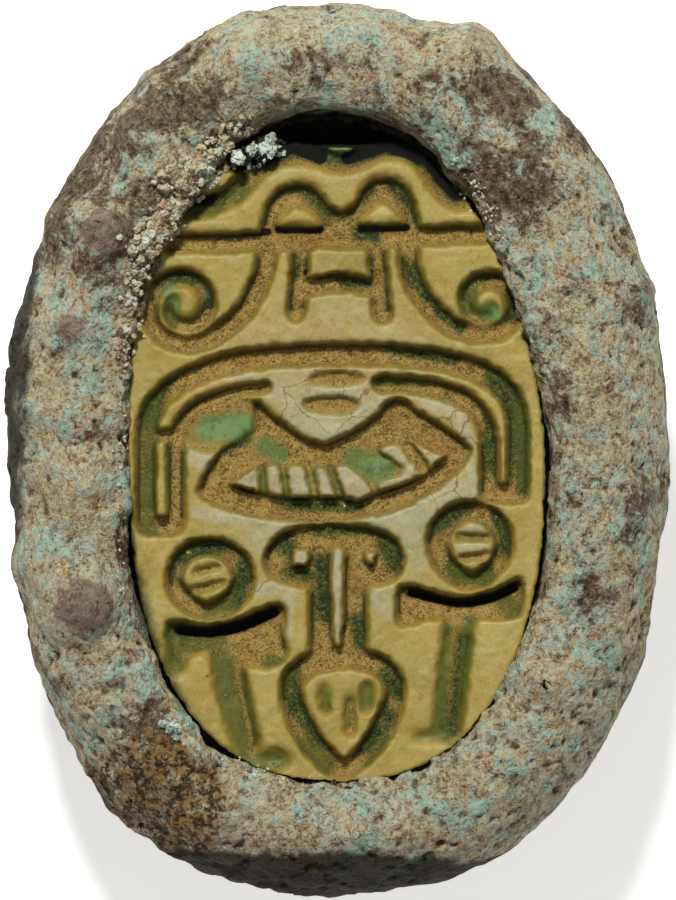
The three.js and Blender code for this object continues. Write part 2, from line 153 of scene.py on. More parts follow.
seal = {
    "halfSheet": (6.1 * mm, 9.5 * mm),
    "castFrom": (12 * mm, -4 * mm),  # heights over the face and under the back
    "faceCell": 0.05 * mm,
    "backCell": 0.1 * mm,
    "rimHeight": 6.24 * mm,
    "faceHeight": 7.8 * mm,
    "faceDepth": 2.2 * mm,  # anything deeper is the side or the back
    "floorDepth": (0.16 * mm, 0.4 * mm),
    "softenAll": 3,
    "softenWide": 11,
    "softenHollows": 40,
    # small shapes that stay crisp: the boat's bars, the mouth, the slots in the discs and the drop
    "crisp": [
        (-2.5, -0.9, 0.9), (-1.1, -0.9, 0.9), (0.2, -0.9, 0.9), (1.4, -0.6, 0.9), (2.5, -0.1, 0.9),
        (-1.15, -2.9, 0.6), (1.05, -2.9, 0.6), (0.1, -3.6, 0.5), (0.1, -5.0, 0.5), (-0.5, 5.3, 0.6),
        (-3.55, -3.5, 0.5), (3.7, -2.75, 0.5), (0.2, -6.9, 0.8), (0.0, 1.6, 0.9), (-4.85, -1.2, 0.5),
    ],
    # soft worn places: stems, feet, volutes and the line over the double arch, as x, y to x, y and reach
    "worn": [
        (-3.05, -5.9, -2.5, -8.3, 0.5), (-1.9, -8.6, -1.6, -8.6, 0.5), (3.4, -5.0, 3.1, -7.6, 0.5),
        (2.3, -7.95, 3.0, -7.95, 0.3), (-4.6, 6.4, -3.2, 6.5, 0.3), (-3.2, 6.5, -2.2, 7.5, 0.3),
        (-2.2, 7.5, -1.2, 7.95, 0.3), (-1.2, 7.95, 0.1, 7.3, 0.3), (0.1, 7.3, 1.3, 8.0, 0.3),
        (1.3, 8.0, 2.4, 7.5, 0.3), (2.4, 7.5, 3.1, 6.7, 0.3), (3.1, 6.7, 4.0, 6.7, 0.25),
        (-4.5, 4.2, -4.1, 3.9, 0.5), (4.0, 4.2, 4.3, 3.9, 0.45), (-4.6, -5.4, -4.4, -6.2, 0.3),
        (-4.0, -5.6, -1.9, -5.9, 0.2), (-0.3, -6.7, 0.9, -6.9, 0.3), (-1.2, 6.4, -0.9, 6.5, 0.5),
        (1.1, 6.4, 1.4, 6.6, 0.5),
    ],
    # the painted shadow under the upper walls: how steeply the light falls, and how many cells its shadow is
    # traced
    "lightSlope": 2.6,
    "shadowSteps": 12,
    "relief": [
        ("wear", "CLOUDS", 1.3 * mm, 0.08 * mm, 0.55, "", {"noise_depth": 3}),
        ("grit", "CLOUDS", 0.13 * mm, 0.05 * mm, 0.3, "floor",
         {"noise_depth": 2, "noise_basis": "VORONOI_F1"}),
        ("chips", "CLOUDS", 0.3 * mm, 0.1 * mm, 0.58, "shoulder", {"noise_depth": 3}),
        ("pits", "CLOUDS", 0.35 * mm, 0.03 * mm, 0.8, "plateau",
         {"noise_depth": 1, "noise_type": "HARD_NOISE"}),
    ],
    # strokes of colour laid in the carving: from x, y to x, y and reach in mm
    "green": [
        (-3.6, 0.6, -2.7, 0.65, 0.4), (-2.0, 0.1, -1.6, -0.1, 0.3), (-2.05, -0.5, -2.05, -1.2, 0.14),
        (-1.5, -0.6, -1.4, -1.3, 0.1), (-0.2, -0.5, 0.1, -1.3, 0.14), (0.5, -0.3, 1.3, -0.6, 0.42),
        (-4.7, 4.4, -4.3, 4.0, 0.24), (-4.9, 3.9, -4.6, 3.5, 0.18), (3.6, 4.5, 3.65, 4.0, 0.28),
        (4.2, 4.0, 4.3, 3.9, 0.3), (4.0, 3.7, 4.4, 3.7, 0.15), (3.4, -2.45, 4.1, -2.45, 0.14),
        (3.3, -3.5, 4.2, -3.6, 0.25), (-3.6, -4.45, -3.0, -4.3, 0.2), (-4.6, -5.0, -4.5, -6.3, 0.3),
        (-4.3, -5.45, -3.3, -5.3, 0.24), (-1.9, -5.9, -1.3, -6.1, 0.26), (-3.3, -5.8, -2.75, -8.3, 0.4),
        (-2.45, -6.2, -2.15, -7.8, 0.2), (-2.1, -8.7, -1.4, -8.6, 0.36), (-2.6, -8.7, -2.2, -8.8, 0.3),
        (-0.9, -8.2, -0.3, -8.7, 0.3), (0.9, -8.8, 1.4, -8.1, 0.2), (4.5, -4.0, 5.0, -4.6, 0.32),
        (2.85, -5.0, 2.75, -7.6, 0.3), (3.7, -4.8, 3.5, -7.6, 0.26), (2.2, -7.95, 3.0, -7.95, 0.2),
        (-0.4, -6.7, -0.3, -7.3, 0.2), (0.8, -6.5, 0.85, -7.2, 0.26), (-5.2, 1.3, -5.25, -1.5, 0.3),
        (5.1, 1.2, 5.2, -0.9, 0.25), (1.0, 1.9, 2.3, 1.9, 0.16), (-3.2, 7.7, -2.6, 7.0, 0.35),
        (-0.4, 8.4, 0.5, 8.4, 0.4), (-5.3, -2.0, -5.0, -3.0, 0.25), (-4.0, 6.5, -3.0, 6.6, 0.16),
    ],
    "dark": [
        (-1.9, 7.2, -0.9, 7.35, 0.22), (-0.7, 7.1, -0.2, 6.6, 0.32), (0.3, 6.7, 0.8, 7.2, 0.26),
        (1.6, 7.3, 2.3, 6.6, 0.32), (0.6, 6.0, 1.0, 5.95, 0.3), (-1.25, 5.3, -1.2, 4.9, 0.2),
        (0.2, 4.65, 0.8, 4.65, 0.24), (1.8, 5.1, 2.5, 4.3, 0.28), (2.8, 3.9, 3.4, 3.4, 0.22),
        (1.6, 2.8, 3.2, 2.5, 0.2), (4.3, 2.0, 5.1, 0.6, 0.34), (-4.8, 2.0, -5.2, 1.0, 0.3),
        (4.3, 0.9, 4.4, -0.4, 0.3), (5.1, 0.4, 5.2, -1.0, 0.35), (-3.1, 0.1, -2.6, 0.3, 0.22),
        (-1.4, -1.55, 0.6, -1.6, 0.18), (-1.7, -2.4, -1.4, -2.7, 0.34), (-0.6, -2.2, 0.9, -2.2, 0.24),
        (-0.5, -3.1, -0.4, -4.6, 0.28), (-1.4, -3.4, -0.7, -3.5, 0.24), (1.3, -2.6, 1.6, -3.2, 0.34),
        (0.5, -4.7, 0.6, -5.4, 0.24), (-4.4, -3.0, -3.3, -2.7, 0.3), (-2.6, -3.2, -2.8, -4.2, 0.28),
        (2.8, -2.1, 3.5, -1.6, 0.3), (4.5, -1.9, 4.8, -2.8, 0.3), (3.2, -3.3, 4.1, -3.4, 0.3),
        (-1.3, -6.0, -1.2, -7.2, 0.3), (-1.0, -7.4, -0.5, -8.0, 0.3), (1.3, -6.2, 1.7, -6.8, 0.24),
        (1.4, -7.4, 0.8, -8.2, 0.34), (3.5, -5.2, 3.2, -7.8, 0.26), (-4.9, 4.8, -3.7, 4.7, 0.2),
        (-3.6, 4.6, -3.5, 4.1, 0.2), (3.4, 4.6, 4.3, 4.9, 0.22), (4.8, 4.5, 4.9, 3.7, 0.26),
        (-4.4, -5.0, -4.3, -5.3, 0.2), (-2.4, 7.9, -1.0, 8.45, 0.34), (-1.0, 8.45, 0.1, 8.1, 0.34),
        (0.1, 8.1, 1.5, 8.6, 0.34), (1.5, 8.6, 2.6, 8.0, 0.4), (2.6, 8.0, 3.3, 7.2, 0.4),
        (3.3, 7.2, 4.2, 7.1, 0.3), (-4.5, 6.8, -3.3, 6.9, 0.25), (-3.3, 6.9, -2.4, 7.9, 0.22),
    ],
    # painted shadow: black strokes where the broken head and the upper edges of some grooves lie in shadow
    "paintedShadowStrokes": [
        (-4.6, 7.0, -3.6, 7.0, 0.26), (-3.7, 8.1, -2.2, 8.6, 0.7), (-2.2, 8.75, -0.9, 8.9, 0.7),
        (-0.9, 8.9, 0.7, 8.9, 0.8), (0.7, 8.85, 2.2, 8.7, 0.65), (2.2, 8.6, 3.2, 7.9, 0.55),
        (3.2, 7.9, 4.2, 7.2, 0.5), (-2.4, 8.05, -1.3, 8.45, 0.3), (-1.3, 8.45, -0.5, 8.15, 0.25),
        (0.3, 8.15, 1.3, 8.5, 0.28), (1.3, 8.5, 2.5, 8.1, 0.3), (2.5, 8.1, 3.3, 7.15, 0.3),
        (3.3, 7.15, 4.3, 7.05, 0.22),
        (-4.4, -5.0, -3.6, -5.07, 0.17), (-3.6, -5.07, -2.6, -4.87, 0.18), (-2.6, -4.87, -1.8, -4.52, 0.16),
        (2.05, -3.95, 3.3, -4.25, 0.13), (3.3, -4.25, 4.2, -4.12, 0.14), (4.2, -4.12, 4.9, -3.82, 0.12),
        (-4.0, 6.04, -1.95, 6.06, 0.12), (-1.65, 6.12, -0.5, 6.12, 0.12), (0.65, 6.14, 1.9, 6.18, 0.12),
        (-0.9, 4.94, 0.9, 4.94, 0.1),
    ],
    # the brighter green, where it lies thick
    "mint": [
        (-3.6, 0.6, -2.7, 0.65, 0.5), (0.5, -0.3, 1.3, -0.6, 0.5), (-4.7, 4.4, -4.3, 4.0, 0.3),
        (4.2, 4.0, 4.3, 3.9, 0.4), (-2.1, 0.1, -1.6, -0.1, 0.3), (-0.4, 8.4, 0.5, 8.4, 0.5),
    ],
    # where the stone is bare and pale
    "bone": [
        (-1.7, 1.65, -0.9, 1.2, 0.4), (-1.2, 0.9, 0.0, 0.5, 0.35), (0.0, 0.5, 1.2, 1.3, 0.35),
        (-0.6, 1.62, 0.6, 1.62, 0.18), (2.5, 1.3, 3.2, 1.15, 0.28),
        (3.2, 1.15, 3.65, 0.3, 0.24), (-4.15, -0.1, -3.6, -0.4, 0.35), (-3.9, -1.7, -2.6, -1.98, 0.25),
        (1.6, -1.8, 3.4, -1.1, 0.45), (3.65, -0.3, 3.8, -1.2, 0.2), (-0.02, -2.8, 0.02, -5.3, 0.2),
        (-1.02, -3.0, -1.0, -2.9, 0.3), (0.9, -3.0, 0.92, -2.9, 0.28), (3.4, -2.2, 4.1, -2.2, 0.22),
        (3.4, -2.7, 4.1, -2.7, 0.18), (-1.35, -4.0, -1.5, -5.2, 0.25), (1.1, -4.1, 1.5, -4.4, 0.35),
        (-2.2, -2.4, -1.9, -3.1, 0.25), (-2.2, -3.9, -1.7, -3.8, 0.25), (-2.9, -0.9, 0.0, -0.9, 0.45),
        (0.0, -0.9, 3.0, -0.1, 0.45), (-3.1, 2.0, -1.9, 1.95, 0.14),
    ],
    # where dirt lies though the stone is hardly cut
    "earth": [
        (-0.5, 1.98, 0.5, 1.98, 0.15), (-0.65, 1.27, 0.4, 1.27, 0.17), (-3.9, 0.9, -2.6, 1.25, 0.3),
        (0.36, -7.05, 0.36, -7.75, 0.13), (-3.95, -3.38, -3.3, -3.22, 0.07),
        (-4.05, -3.9, -3.15, -3.68, 0.07), (1.8, 0.2, 2.35, -0.4, 0.1), (2.35, -0.4, 2.0, -0.7, 0.1),
    ],
    # where glaze stains the outer edge of the face
    "brim": [
        (-5.9, 3.2, -6.05, 0, 0.3), (-6.05, 0, -5.75, -3.5, 0.28), (-5.75, -3.5, -5.1, -5.9, 0.42),
        (-5.1, -5.9, -4.1, -7.8, 0.46), (-4.1, -7.8, -2.6, -9.0, 0.4), (6.05, 0, 5.8, -3.6, 0.24),
        (5.8, -3.6, 5.2, -5.7, 0.22), (-2.6, -9.1, 0.5, -9.4, 0.2),
    ],
}


def castSheet(name, cell, start):
    # a fine net laid on the solid from above or below, with what falls past it cut away
    deselectAll()
    columns, rows = (2 * math.ceil(half / cell) for half in seal["halfSheet"])
    bpy.ops.mesh.primitive_grid_add(x_subdivisions=columns, y_subdivisions=rows, size=1)
    sheet = bpy.context.object
    sheet.name = name
    sheet.scale = (columns * cell, rows * cell, 1)
    sheet.location.z = start
    bpy.ops.object.transform_apply(location=True, rotation=True, scale=True)
    applied(
        sheet, "SHRINKWRAP", target=scarabNode, wrap_method="PROJECT", use_project_z=True,
        use_negative_direction=start > 0, use_positive_direction=start < 0,
    )
    missed = np.abs(places(sheet)[:, 2] - start) < 0.5 * mm  # these stayed where they began
    bpy.ops.object.mode_set(mode="EDIT")
    bpy.ops.mesh.select_mode(type="VERT")
    bpy.ops.mesh.select_all(action="DESELECT")
    bpy.ops.object.mode_set(mode="OBJECT")
    sheet.data.vertices.foreach_set("select", missed)
    bpy.ops.object.mode_set(mode="EDIT")
    bpy.ops.mesh.delete(type="VERT")
    bpy.ops.mesh.select_all(action="SELECT")
    bpy.ops.mesh.region_to_loop()
    bpy.ops.object.mode_set(mode="OBJECT")
    return sheet


def carvedSeal():
    over, under = seal["castFrom"]
    face = castSheet("scarab_seal", seal["faceCell"], over)
    print("face sheet", len(face.data.polygons))
    applied(face, "SMOOTH", factor=0.5, iterations=seal["softenAll"])
    setGroup(face, "wide", 1 - blobs(places(face), seal["crisp"]))
    applied(face, "SMOOTH", factor=0.5, iterations=seal["softenWide"], vertex_group="wide")
    setGroup(face, "worn", along(places(face), seal["worn"]))
    applied(face, "SMOOTH", factor=0.5, iterations=seal["softenHollows"], vertex_group="worn")
    # the side: the edge of the sheet is drawn down and pulled on to the upright wall
    bpy.ops.object.mode_set(mode="EDIT")
    bpy.ops.mesh.extrude_region_move()
    bpy.ops.transform.resize(value=(1, 1, 0))
    bpy.ops.object.mode_set(mode="OBJECT")
    rim = np.array([vertex.select for vertex in face.data.vertices])
    drop = seal["rimHeight"] - places(face)[rim][0, 2]
    bpy.ops.object.mode_set(mode="EDIT")
    bpy.ops.transform.translate(value=(0, 0, drop))
    bpy.ops.object.mode_set(mode="OBJECT")
    setGroup(face, "rim", rim.astype(float))
    applied(face, "SHRINKWRAP", target=scarabNode, wrap_method="NEAREST_SURFACEPOINT", vertex_group="rim")
    back = castSheet("back_sheet", seal["backCell"], under)
    applied(back, "SMOOTH", factor=0.5, iterations=2)
    pick(face)
    back.select_set(True)
    bpy.ops.object.join()
    bpy.ops.object.mode_set(mode="EDIT")
    bpy.ops.mesh.select_all(action="DESELECT")
    bpy.ops.mesh.select_non_manifold()
    bpy.ops.mesh.bridge_edge_loops()
    bpy.ops.mesh.select_all(action="SELECT")
    bpy.ops.mesh.normals_make_consistent(inside=False)
    bpy.ops.object.mode_set(mode="OBJECT")
    bpy.ops.object.shade_smooth()
    return face


def paintedShadowOf(points):
    # painted shadow: how far each place lies in the shadow cast by a wall between it and the head, with the
    # light falling at the given slope
    cell = seal["faceCell"]
    column, row = (np.round(points[:, axis] / cell).astype(int) for axis in (0, 1))
    column -= column.min()
    row -= row.min()
    heights = np.zeros((row.max() + 1 + seal["shadowSteps"], column.max() + 1))
    np.maximum.at(heights, (row, column), points[:, 2])
    paintedShadow = np.zeros(len(points))
    for step in range(1, seal["shadowSteps"] + 1):
        over = heights[row + step, column] - points[:, 2] - step * cell * seal["lightSlope"]
        paintedShadow = np.maximum(paintedShadow, ramp(over, 0, 0.12 * mm))
    return paintedShadow


def weatherSeal(piece):
    points = places(piece)
    depth = seal["faceHeight"] - points[:, 2]
    onFace = (depth < seal["faceDepth"]).astype(float)
    floor = ramp(depth, *seal["floorDepth"]) * onFace
    soft = blurred(piece, depth * onFace, 12)
    # the painted shadow, where the upper walls shade the floors below them
    paintedShadow = blurred(piece, paintedShadowOf(points) * onFace, 2)
    # how near a wall each place on a floor lies, for the dark glaze pooled along the foot of the walls and
    # the painted shade that lies with it
    middle = blurred(piece, floor, 60)
    foot = floor * (1 - ramp(middle, 0.5, 0.86))
    normals = normalsOf(piece)
    steep = ramp(1 - normals[:, 2], 0.04, 0.5) * onFace
    # painted light and shade: walls that face the head, towards the light, are painted bright and dusty;
    # walls that face the foot are painted dark, as in shade
    sunny = blurred(piece, steep * ramp(normals[:, 1], 0.05, 0.45), 14)
    shady = steep * ramp(-normals[:, 1], -0.3, 0.35)
    # painted shade: the dark at the foot of the walls is kept away from the walls that face the light
    foot = foot * (1 - ramp(sunny, 0.03, 0.16))
    setGroup(piece, "floor", floor)
    setGroup(piece, "plateau", 1 - ramp(depth, 0.03 * mm, 0.2 * mm))
    shoulder = ramp(blurred(piece, steep, 6), 0.1, 0.5) * (1 - ramp(depth, 0.2 * mm, 0.4 * mm))
    setGroup(piece, "shoulder", shoulder)
    roughened(piece, seal["relief"])
    setShade(piece, "depth", np.clip(depth / mm, -0.2, 4) * onFace)
    setShade(piece, "stain", np.clip(soft / mm, 0, 2))
    setShade(piece, "sunny", ramp(sunny, 0.02, 0.3))
    setShade(piece, "shady", shady)
    setShade(piece, "foot", foot)
    setShade(piece, "paintedShadow", paintedShadow)
    # strokes of colour, among them the painted shadow strokes
    for colour in ("green", "mint", "dark", "paintedShadowStrokes", "bone", "earth", "brim"):
        setShade(piece, colour, along(points, seal[colour]) * onFace)


# the mount: the solid's own form, remeshed fine and grown over with corrosion

band = {
    "voxel": 0.175 * mm,
    "fineAbove": 6.0 * mm,
    "opening": (6.0, 9.4),  # half its width and length in mm
    "lipReach": 0.62 * mm,
    "lipEdge": (1.02, 1.12),
    "lipHeight": (6.0 * mm, 7.0 * mm),
    "topHeight": (5.2 * mm, 6.6 * mm),
    # where a gap stays between the seal and its mount, wide and narrow: from x, y to x, y and reach in mm
    "wideGap": [(-3.0, 9.0, 2.6, 8.9, 1.3)],
    "slimGap": [
        (6.0, 1.0, 5.8, -3.8, 0.9), (-5.9, -2.6, -5.3, -5.5, 0.6), (-5.3, -5.5, -3.4, -8.4, 0.5),
        (2.6, 8.9, 4.4, 6.8, 0.6),
    ],
    "growth": [
        ("swellings", "CLOUDS", 1.5 * mm, 0.3 * mm, 0.6, "", {"noise_depth": 2}),
        ("knobs", "VORONOI", 0.8 * mm, -0.18 * mm, 0.4, "knobby", {}),
        ("pores", "CLOUDS", 0.36 * mm, -0.11 * mm, 0.0, "top",
         {"noise_depth": 2, "contrast": 5, "intensity": 0.1, "use_clamp": True}),
        ("grains", "CLOUDS", 0.17 * mm, 0.07 * mm, 0.5, "top", {"noise_depth": 1}),
        ("flakes", "CLOUDS", 0.6 * mm, 0.07 * mm, 0.6, "top", {"noise_type": "HARD_NOISE", "noise_depth": 3}),
    ],
    # smooth blisters: x, y, reach and rise in mm, and how bare and brown they are
    "blisters": [
        (-6.4, 6.0, 0.7, 0.4, 1), (-7.0, -4.3, 0.8, 0.5, 1), (-5.6, 8.9, 0.6, 0.3, 0.5),
        (-7.4, 3.4, 0.6, 0.25, 0.7), (-2.4, 10.9, 0.8, 0.3, 0), (3.7, 11.4, 0.6, 0.3, 0.5),
        (-8.6, 1.1, 0.6, 0.3, 0), (8.5, 4.5, 0.5, 0.25, 0.6), (-7.1, -1.0, 0.8, 0.3, 0),
        (5.8, -6.4, 0.5, 0.3, 0.3), (-3.3, -10.2, 0.6, 0.2, 0), (-4.7, 7.7, 0.5, 0.25, 0),
        (-8.5, -3.1, 0.9, 0.25, 0), (-7.7, 6.4, 0.5, 0.3, 0.3), (-5.1, 10.1, 0.6, 0.3, 0),
        (0.6, 11.4, 0.9, 0.25, 0),
    ],
}


def crustedMount():
    pick(mountNode)
    bpy.ops.object.duplicate()
    mount = bpy.context.object
    mount.name = "mount_crust"
    bpy.ops.object.mode_set(mode="EDIT")
    bpy.ops.mesh.select_all(action="SELECT")
    bpy.ops.mesh.remove_doubles(threshold=0.001 * mm)
    bpy.ops.object.mode_set(mode="OBJECT")
    applied(mount, "REMESH", mode="VOXEL", voxel_size=band["voxel"], use_smooth_shade=True)
    applied(mount, "SMOOTH", factor=0.5, iterations=6)
    print("mount remeshed", len(mount.data.polygons))
    for face in mount.data.polygons:
        face.select = face.normal.z > 0.1 and face.center.z > band["fineAbove"]
    bpy.ops.object.mode_set(mode="EDIT")
    bpy.ops.mesh.select_mode(type="FACE")
    bpy.ops.mesh.subdivide(number_cuts=1)
    bpy.ops.object.mode_set(mode="OBJECT")
    print("mount refined", len(mount.data.polygons))
    return mount


def openingAt(points):
    # one on the edge of the opening, less inside it and more outside
    x, y = points[:, 0] / mm, points[:, 1] / mm
    x = x + 0.25 * ramp(y, -1, 5)  # it leans to the left towards the head
    square = np.where(y > 0, 2.05, 2.45)  # and its lower half is squarer
    halfWidth, halfLength = band["opening"]
    return ((np.abs(x) / halfWidth) ** square + (np.abs(y) / halfLength) ** square) ** (1 / square)


def corrode(mount):
    points = places(mount)
    top = ramp(points[:, 2], *band["topHeight"])
    leftness = ramp(-points[:, 0], -9 * mm, 6 * mm)
    spotty = blobs(points, [blister[:3] for blister in band["blisters"]])
    # the crust has grown up to the stone, except at the broken head
    apart = np.maximum(along(points, band["wideGap"]), 0.6 * along(points, band["slimGap"]))
    lip = (1 - ramp(openingAt(points), *band["lipEdge"])) * (1 - apart)
    lip = lip * ramp(points[:, 2], *band["lipHeight"])
    out = points[:, :2] / np.array(band["opening"]) ** 2
    out /= np.hypot(*out.T)[:, None]
    ragged = noise("ragged", "CLOUDS", 0.45 * mm, noise_depth=3)
    for direction, axis in (("X", 0), ("Y", 1)):
        for sign in (1, -1):
            setGroup(mount, "lip", lip * np.clip(-sign * out[:, axis], 0, 1))
            applied(
                mount, "DISPLACE", direction=direction, strength=sign * band["lipReach"], mid_level=0,
                vertex_group="lip", texture=ragged, texture_coords="LOCAL",
            )
            mount.vertex_groups.remove(mount.vertex_groups["lip"])
    applied(mount, "SMOOTH", factor=0.5, iterations=2)
    setGroup(mount, "top", (0.3 + 0.7 * top) * (1 - 0.7 * spotty))
    setGroup(mount, "knobby", np.clip(0.25 + 0.75 * leftness, 0, 1) * (1 - 0.8 * spotty))
    roughened(mount, band["growth"])
    bare = np.zeros(len(points))
    for x, y, reach, rise, brown in band["blisters"]:
        bare = np.maximum(bare, brown * blobs(points, [(x, y, reach)]))
        weight = blobs(points, [(x, y, reach)]) * top
        setGroup(mount, "blister", weight)
        applied(mount, "DISPLACE", strength=rise * mm, mid_level=0, vertex_group="blister")
        mount.vertex_groups.remove(mount.vertex_groups["blister"])
    after = places(mount)
    smooth = np.stack([blurred(mount, after[:, axis], 12) for axis in range(3)], axis=1)
    rise = ((after - smooth) * normalsOf(mount)).sum(axis=1)
    setShade(mount, "rise", np.clip(rise / mm, -0.5, 0.5))
    setShade(mount, "blister", bare * top)
    pick(mount)
    bpy.ops.object.shade_smooth()


# loose crumbs of crust, along the edge of the seal and in the broken corner

litter = {
    "shapes": 5,
    # lumps that bridge from the mount towards the broken head: x, y, height and size in mm, and kind
    "lumps": [
        (-2.75, 8.1, 8.0, 0.24, "pale"), (-2.35, 8.35, 8.0, 0.2, "pale"), (-1.95, 8.35, 8.05, 0.24, "pale"),
        (-1.85, 8.65, 8.1, 0.2, "pale"), (-3.1, 8.4, 8.1, 0.2, "crust"), (-2.6, 8.9, 8.2, 0.2, "crust"),
        (-3.75, 7.75, 8.0, 0.36, "crust"), (-4.2, 7.35, 8.0, 0.38, "crust"),
        (-4.7, 6.75, 8.0, 0.36, "crust"), (-5.05, 6.1, 8.0, 0.34, "crust"), (-5.35, 5.4, 8.0, 0.3, "crust"),
        (-5.5, 4.7, 8.0, 0.3, "crust"), (-5.65, 4.0, 8.0, 0.28, "crust"), (-5.8, 3.3, 8.0, 0.26, "crust"),
    ],
    # from and to in mm, how far they stray, how many, smallest and largest, and kind
    "runs": [
        ((-5.95, 2.6), (-5.4, 5.6), 0.16, 150, 0.04, 0.12, "crust"),
        ((-5.4, 5.6), (-3.6, 8.1), 0.26, 300, 0.05, 0.2, "crust"),
        ((-2.9, 8.1), (-2.5, 8.1), 0.12, 70, 0.04, 0.11, "pale"),
        ((-2.4, 8.3), (-1.75, 8.45), 0.14, 130, 0.04, 0.11, "pale"),
        ((-3.9, 7.7), (-2.9, 8.5), 0.3, 120, 0.04, 0.15, "crust"),
        ((-3.2, 8.9), (-2.2, 9.0), 0.16, 60, 0.03, 0.1, "crust"),
        ((-6.0, 2.4), (-6.0, -4.2), 0.08, 60, 0.03, 0.07, "crust"),
        ((-4.75, -7.5), (-4.5, -7.75), 0.1, 40, 0.05, 0.14, "pale"),
        ((-2.35, -8.95), (-2.15, -8.95), 0.1, 14, 0.04, 0.1, "pale"),
        ((-3.6, -8.4), (-0.4, -9.4), 0.08, 40, 0.03, 0.06, "crust"),
        ((4.9, 5.2), (3.3, 7.9), 0.16, 90, 0.03, 0.07, "crust"),
    ],
}


def crumbShapes():
    shapes = []
    for seed in range(litter["shapes"]):
        deselectAll()
        bpy.ops.mesh.primitive_uv_sphere_add(segments=7, ring_count=5, radius=1)
        bpy.ops.object.mode_set(mode="EDIT")
        bpy.ops.mesh.select_all(action="SELECT")
        bpy.ops.transform.resize(value=(1, 0.85, 0.65))
        bpy.ops.transform.vertex_random(offset=0.36, uniform=0.5, seed=seed)
        bpy.ops.object.mode_set(mode="OBJECT")
        shapes.append(bpy.context.object)
    return shapes


def landing(x, y, pieces):
    hits = [piece.ray_cast(Vector((x, y, 20 * mm)), Vector((0, 0, -1))) for piece in pieces]
    return max((place.z for found, place, normal, index in hits if found), default=None)


def laidCrumb(shape, x, y, z, size, chance):
    crumb = shape.copy()
    crumb.data = shape.data.copy()
    crumb.location = (x * mm, y * mm, z)
    crumb.rotation_euler = [chance.uniform(0, 6.28) for _ in range(3)]
    crumb.scale = (size * mm,) * 3
    bpy.context.collection.objects.link(crumb)
    return crumb


def joinedCrumbs(name, crumbs):
    deselectAll()
    for crumb in crumbs:
        crumb.select_set(True)
    bpy.context.view_layer.objects.active = crumbs[0]
    bpy.ops.object.join()
    bpy.ops.object.transform_apply(location=True, rotation=True, scale=True)
    crumbs[0].name = name
    return crumbs[0]


def scatterCrumbs(name, kind, pieces, heapFinish, crumbFinish):
    chance = random.Random(7 if kind == "crust" else 8)
    shapes = crumbShapes()
    lumps = [
        laidCrumb(chance.choice(shapes), x, y, height * mm, size, chance)
        for x, y, height, size, sort in litter["lumps"] if sort == kind
    ]
    heap = joinedCrumbs(name + "_heap", lumps)
    applied(heap, "SUBSURF", levels=2, render_levels=2)
    roughened(heap, [(name + "_rough", "CLOUDS", 0.16 * mm, 0.26 * mm, 0.5, "", {"noise_depth": 2})])
    bpy.ops.object.shade_smooth()
    heap.data.materials.append(heapFinish)
    for shape in shapes:
        shape.data.materials.append(crumbFinish)
    crumbs = [heap]
    for start, end, stray, count, small, large, sort in litter["runs"]:
        if sort != kind:
            continue
        for _ in range(count):
            share = chance.random()
            x = start[0] + (end[0] - start[0]) * share + chance.gauss(0, stray)
            y = start[1] + (end[1] - start[1]) * share + chance.gauss(0, stray)
            height = landing(x * mm, y * mm, [*pieces, heap])
            if height is None:
                continue
            size = small + (large - small) * chance.random() ** 1.5
            crumbs.append(laidCrumb(chance.choice(shapes), x, y, height + size * 0.35 * mm, size, chance))
    deselectAll()
    for shape in shapes:
        shape.select_set(True)
    bpy.ops.object.delete()
    return joinedCrumbs(name, crumbs)


# materials

def newMaterial(name):
    material = bpy.data.materials.new(name)
    material.use_nodes = True
    nodes = material.node_tree.nodes
    shader = next(node for node in nodes if node.type == "BSDF_PRINCIPLED")
    return material, material.node_tree, shader


